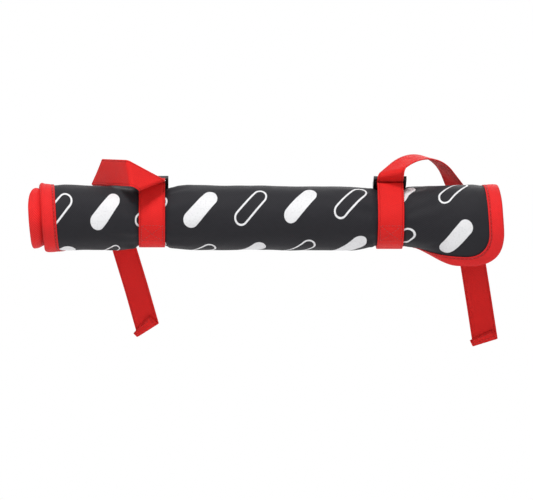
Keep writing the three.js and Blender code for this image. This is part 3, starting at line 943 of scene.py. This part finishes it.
weaveGroup = makeWeaveGroup()
mottleGroup = makeMottleGroup()
printGroup = makePrintGroup()


def placeGroup(tree, group, values):
    node = tree.nodes.new("ShaderNodeGroup")
    node.node_tree = group
    for label, value in values.items():
        node.inputs[label].default_value = value
    return node


def mixColour(tree, share, first, second):
    node = tree.nodes.new("ShaderNodeMix")
    node.data_type = "RGBA"
    sockets = (node.inputs[0], node.inputs[6], node.inputs[7])
    for socket, value in zip(sockets, (share, first, second)):
        if isinstance(value, bpy.types.NodeSocket):
            tree.links.new(value, socket)
        else:
            socket.default_value = (*value, 1)
    return node.outputs[2]


def addBump(tree, shader, height, distance):
    bump = tree.nodes.new("ShaderNodeBump")
    bump.inputs["Distance"].default_value = distance * metre
    tree.links.new(height, bump.inputs["Height"])
    tree.links.new(bump.outputs["Normal"], shader.inputs["Normal"])


# Goes from a bit below the middle value to as much above it, as the spread says
def varied(tree, amount, spread, middle):
    return calc(tree, "MULTIPLY_ADD", amount, spread, middle - spread / 2)


# One recipe for every woven cloth, with its own threads and colours, and painted shade where the
# threads dip
woven = {"lowShade": 0.25, "roughnessSpread": 0.12, "sheenRoughness": 0.4, "fleckHeight": 0.3}


def wovenCloth(name, settings):
    material, tree, shader = newMaterial(name)
    place = tree.nodes.new("ShaderNodeUVMap")
    place.uv_map = "UVMap"
    threads = {"Across per metre": settings["across"], "Along per metre": settings["along"]}
    weave = placeGroup(tree, weaveGroup, threads)
    tree.links.new(place.outputs[0], weave.inputs["UV"])
    scales = {"Scale": settings["mottleScale"], "Fleck scale": settings["fleckScale"]}
    mottle = placeGroup(tree, mottleGroup, scales)
    # Painted shade: the colour darkens towards the valley colour where the threads dip, as shade
    # between the threads
    lowShade = woven["lowShade"]
    shade = calc(tree, "MULTIPLY_ADD", weave.outputs["Height"], 1 - lowShade, lowShade)
    colour = mixColour(tree, shade, settings["shadedValley"], settings["crest"])
    tone = varied(tree, mottle.outputs["Tone"], settings["tone"], 1)
    fleck = varied(tree, mottle.outputs["Fleck"], settings["fleck"], 1)
    scaled = tree.nodes.new("ShaderNodeVectorMath")
    scaled.operation = "SCALE"
    tree.links.new(colour, scaled.inputs[0])
    tree.links.new(calc(tree, "MULTIPLY", tone, fleck), scaled.inputs["Scale"])
    tree.links.new(scaled.outputs[0], shader.inputs["Base Color"])
    rough = varied(tree, mottle.outputs["Tone"], woven["roughnessSpread"], settings["roughness"])
    tree.links.new(rough, shader.inputs["Roughness"])
    shader.inputs["Sheen Weight"].default_value = settings["sheen"]
    shader.inputs["Sheen Roughness"].default_value = woven["sheenRoughness"]
    shader.inputs["Specular IOR Level"].default_value = settings["specular"]
    raised = calc(tree, "MULTIPLY", mottle.outputs["Fleck"], woven["fleckHeight"])
    height = calc(tree, "ADD", raised, weave.outputs["Height"])
    return material, tree, shader, place, scaled, rough, height


# The cloth dips along a line on each side of its middle, and its colour is darkened there as
# painted shade in the groove
def addGrooves(cloth, middle, distance, groove):
    _, tree, shader, place, scaled, _, height = cloth
    split = tree.nodes.new("ShaderNodeSeparateXYZ")
    tree.links.new(place.outputs[0], split.inputs[0])
    aside = calc(tree, "ABSOLUTE", calc(tree, "SUBTRACT", split.outputs[0], middle * metre))
    away = calc(tree, "ABSOLUTE", calc(tree, "SUBTRACT", aside, distance * metre))
    dip = calc(tree, "MULTIPLY_ADD", away, -1 / (groove["width"] * metre), 1)
    dip = calc(tree, "MAXIMUM", dip, 0)
    # Painted shade: the colour goes towards the groove's dark colour across the dip
    paintedShade = calc(tree, "MULTIPLY", dip, groove["paintedShade"])
    colour = mixColour(tree, paintedShade, scaled.outputs[0], groove["colour"])
    tree.links.new(colour, shader.inputs["Base Color"])
    lowered = calc(tree, "MULTIPLY_ADD", dip, -groove["depth"], height)
    addBump(tree, shader, lowered, groove["bump"])


def padCloth():
    material, tree, shader, place, scaled, rough, height = wovenCloth("pad cloth", {
        "across": 1250,
        "along": 1250,
        # the valley colour is painted shade between the threads
        "shadedValley": (0.0035, 0.0035, 0.0045),
        "crest": (0.0152, 0.0145, 0.0188),
        "mottleScale": 30,
        "fleckScale": 1500,
        "tone": 0.35,
        "fleck": 0.5,
        "roughness": 0.66,
        "sheen": 0.03,
        "specular": 0.22,
    })
    ink = placeGroup(tree, printGroup, {})
    tree.links.new(place.outputs[0], ink.inputs["UV"])
    cracks = tree.nodes.new("ShaderNodeTexNoise")
    cracks.inputs["Scale"].default_value = printing["crackScale"]
    cracks.inputs["Detail"].default_value = 4
    tree.links.new(place.outputs[0], cracks.inputs["Vector"])
    slope, level = printing["crackSlope"], printing["crackLevel"]
    whole = clamped(tree, calc(tree, "MULTIPLY_ADD", cracks.outputs["Fac"], -slope, level))
    cover = calc(tree, "MULTIPLY_ADD", whole, printing["wear"], printing["cover"])
    share = calc(tree, "MULTIPLY", ink.outputs["Ink"], cover)
    colour = mixColour(tree, share, scaled.outputs[0], printing["ink"])
    tree.links.new(colour, shader.inputs["Base Color"])
    glossier = calc(tree, "MULTIPLY_ADD", ink.outputs["Ink"], -printing["gloss"], rough)
    tree.links.new(glossier, shader.inputs["Roughness"])
    filled = calc(tree, "MULTIPLY_ADD", ink.outputs["Ink"], -printing["fill"], 1)
    raised = calc(tree, "MULTIPLY_ADD", height, filled, ink.outputs["Ink"])
    addBump(tree, shader, raised, printing["bump"])
    return material


def tapeCloth():
    cloth = wovenCloth("tape cloth", {
        "across": 1500,
        "along": 1250,
        # the valley colour is painted shade between the threads
        "shadedValley": (0.44, 0.003, 0.008),
        "crest": (0.84, 0.018, 0.016),
        "mottleScale": 45,
        "fleckScale": 1500,
        "tone": 0.24,
        "fleck": 0.3,
        "roughness": 0.66,
        "sheen": 0.03,
        "specular": 0.25,
    })
    # The seam's groove is painted darker, as painted shade where the seam pulls the cloth down
    seam = {
        "width": 1.1,
        "paintedShade": 0.75,
        "colour": (0.2, 0.001, 0.002),
        "depth": 2.5,
        "bump": 0.16,
    }
    half = float(tapeSection()[2][-1]) / 2
    addGrooves(cloth, half, half - tape["width"] + binding["seamInset"], seam)
    return cloth[0]


def webbingCloth():
    cloth = wovenCloth("webbing cloth", {
        "across": 1800,
        # the valley colour is painted shade between the threads
        "along": 1150,
        "shadedValley": (0.44, 0.002, 0.008),
        "crest": (0.86, 0.020, 0.014),
        "mottleScale": 40,
        "fleckScale": 1400,
        "tone": 0.24,
        "fleck": 0.3,
        "roughness": 0.62,
        "sheen": 0.02,
        "specular": 0.18,
    })
    # A groove near each edge of the webbing, painted darker as painted shade in the dip
    edge = {
        "inset": 1.6,
        "width": 0.45,
        "paintedShade": 0.45,
        "colour": (0.25, 0.001, 0.003),
        "depth": 1.4,
        "bump": 0.2,
    }
    addGrooves(cloth, 0, webbing["width"] / 2 - edge["inset"], edge)
    return cloth[0]


sewingThread = {
    "fleckScale": 2500,
    "dark": (0.22, 0.002, 0.004),
    "light": (0.62, 0.012, 0.012),
    "roughness": 0.5,
    "sheen": 0.2,
    "bump": 0.1,
}


def redThread():
    material, tree, shader = newMaterial("red thread")
    mottle = placeGroup(tree, mottleGroup, {"Fleck scale": sewingThread["fleckScale"]})
    fleck = mottle.outputs["Fleck"]
    colour = mixColour(tree, fleck, sewingThread["dark"], sewingThread["light"])
    tree.links.new(colour, shader.inputs["Base Color"])
    shader.inputs["Roughness"].default_value = sewingThread["roughness"]
    shader.inputs["Sheen Weight"].default_value = sewingThread["sheen"]
    addBump(tree, shader, fleck, sewingThread["bump"])
    return material


plastic = {
    "mottleScale": 120,
    "fleckScale": 3500,
    "dark": (0.0075, 0.0075, 0.008),
    "light": (0.016, 0.016, 0.017),
    "roughness": 0.36,
    "roughnessSpread": 0.18,
    "specular": 0.3,
    "bump": 0.05,
}


def bucklePlastic():
    material, tree, shader = newMaterial("buckle plastic")
    scales = {"Scale": plastic["mottleScale"], "Fleck scale": plastic["fleckScale"]}
    mottle = placeGroup(tree, mottleGroup, scales)
    fleck = mottle.outputs["Fleck"]
    colour = mixColour(tree, mottle.outputs["Tone"], plastic["dark"], plastic["light"])
    tree.links.new(colour, shader.inputs["Base Color"])
    rough = calc(tree, "MULTIPLY_ADD", fleck, plastic["roughnessSpread"], plastic["roughness"])
    tree.links.new(rough, shader.inputs["Roughness"])
    shader.inputs["Specular IOR Level"].default_value = plastic["specular"]
    addBump(tree, shader, fleck, plastic["bump"])
    return material


finishes = {}
for buildFinish in (padCloth, tapeCloth, redThread, webbingCloth, bucklePlastic):
    finish = buildFinish()
    finishes[finish.name] = finish
print("materials mixed")


makePad()
print("pad made")
makeBinding()
makeTapeStitches()
print("binding made")
for end, place in strapPlaces.items():
    makeStrap(end, place)
for end in strapPlaces:
    for half in ("socket", "plug"):
        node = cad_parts[f"{end}_buckle_{half}"]
        node.data.materials.clear()
        node.data.materials.append(finishes["buckle plastic"])
print("buckles finished")


# Studio: a pale floor, a soft key from above in front, a wide fill and a weak light behind
studio = {
    "floorDrop": 300,
    "floorSize": 6,
    "floorColour": (0.86, 0.86, 0.87),
    "floorGlow": 0.35,
    "whiteFrom": 0.6,
    "whiteSpread": 0.7,
    "world": 0.36,
    "key": {"at": (-0.5, -1.3, 1.9), "size": 0.7, "power": 44},
    "fill": {"at": (0.9, -2.4, 0.25), "size": 2.2, "power": 17},
    "back": {"at": (0.6, 1.6, 1.2), "size": 1.2, "power": 12},
}


def seenDirectly(tree):
    rays = tree.nodes.new("ShaderNodeLightPath")
    seen = calc(tree, "MAXIMUM", rays.outputs["Is Camera Ray"], rays.outputs["Is Glossy Ray"])
    return calc(tree, "MAXIMUM", seen, rays.outputs["Is Transmission Ray"])


def addWorld():
    world = bpy.data.worlds.new("studio")
    world.use_nodes = True
    tree = world.node_tree
    background = tree.nodes["Background"]
    background.inputs["Color"].default_value = (1, 1, 1, 1)
    strength = calc(tree, "MULTIPLY_ADD", seenDirectly(tree), 1 - studio["world"], studio["world"])
    tree.links.new(strength, background.inputs["Strength"])
    bpy.context.scene.world = world


# White to the camera: a little near the object, so that its shadow shows, and wholly further out
def floorPaint():
    material, tree, shader = newMaterial("pale floor")
    shader.inputs["Base Color"].default_value = (*studio["floorColour"], 1)
    shader.inputs["Roughness"].default_value = 0.9
    shader.inputs["Emission Color"].default_value = (1, 1, 1, 1)
    place = tree.nodes.new("ShaderNodeTexCoord")
    radius = tree.nodes.new("ShaderNodeVectorMath")
    radius.operation = "LENGTH"
    tree.links.new(place.outputs["Object"], radius.inputs[0])
    nearest, spread = studio["whiteFrom"], studio["whiteSpread"]
    further = calc(tree, "MULTIPLY_ADD", radius.outputs["Value"], 1 / spread, -nearest / spread)
    further = clamped(tree, further)
    seen = seenDirectly(tree)
    near = calc(tree, "MULTIPLY", seen, studio["floorGlow"])
    tree.links.new(near, shader.inputs["Emission Strength"])
    white = tree.nodes.new("ShaderNodeEmission")
    mix = tree.nodes.new("ShaderNodeMixShader")
    tree.links.new(calc(tree, "MULTIPLY", seen, further), mix.inputs[0])
    tree.links.new(shader.outputs[0], mix.inputs[1])
    tree.links.new(white.outputs[0], mix.inputs[2])
    tree.links.new(mix.outputs[0], tree.nodes["Material Output"].inputs["Surface"])
    return material


def addFloor():
    bm = bmesh.new()
    bmesh.ops.create_grid(bm, x_segments=8, y_segments=8, size=studio["floorSize"])
    bmesh.ops.translate(bm, verts=bm.verts, vec=(0, 0, -studio["floorDrop"] * metre))
    mesh = bpy.data.meshes.new("floor")
    bm.to_mesh(mesh)
    bm.free()
    floor = bpy.data.objects.new("floor", mesh)
    bpy.context.collection.objects.link(floor)
    floor.data.materials.append(floorPaint())


def addLamp(name):
    lamp = bpy.data.lights.new(name, "AREA")
    lamp.shape = "DISK"
    lamp.size = studio[name]["size"]
    lamp.energy = studio[name]["power"]
    holder = bpy.data.objects.new(name, lamp)
    holder.location = studio[name]["at"]
    holder.rotation_mode = "QUATERNION"
    holder.rotation_quaternion = (-Vector(studio[name]["at"])).to_track_quat("-Z", "Y")
    bpy.context.collection.objects.link(holder)


addWorld()
addFloor()
for lampName in ("key", "fill", "back"):
    addLamp(lampName)
bpy.context.scene.view_settings.view_transform = "Standard"
print("studio lit")
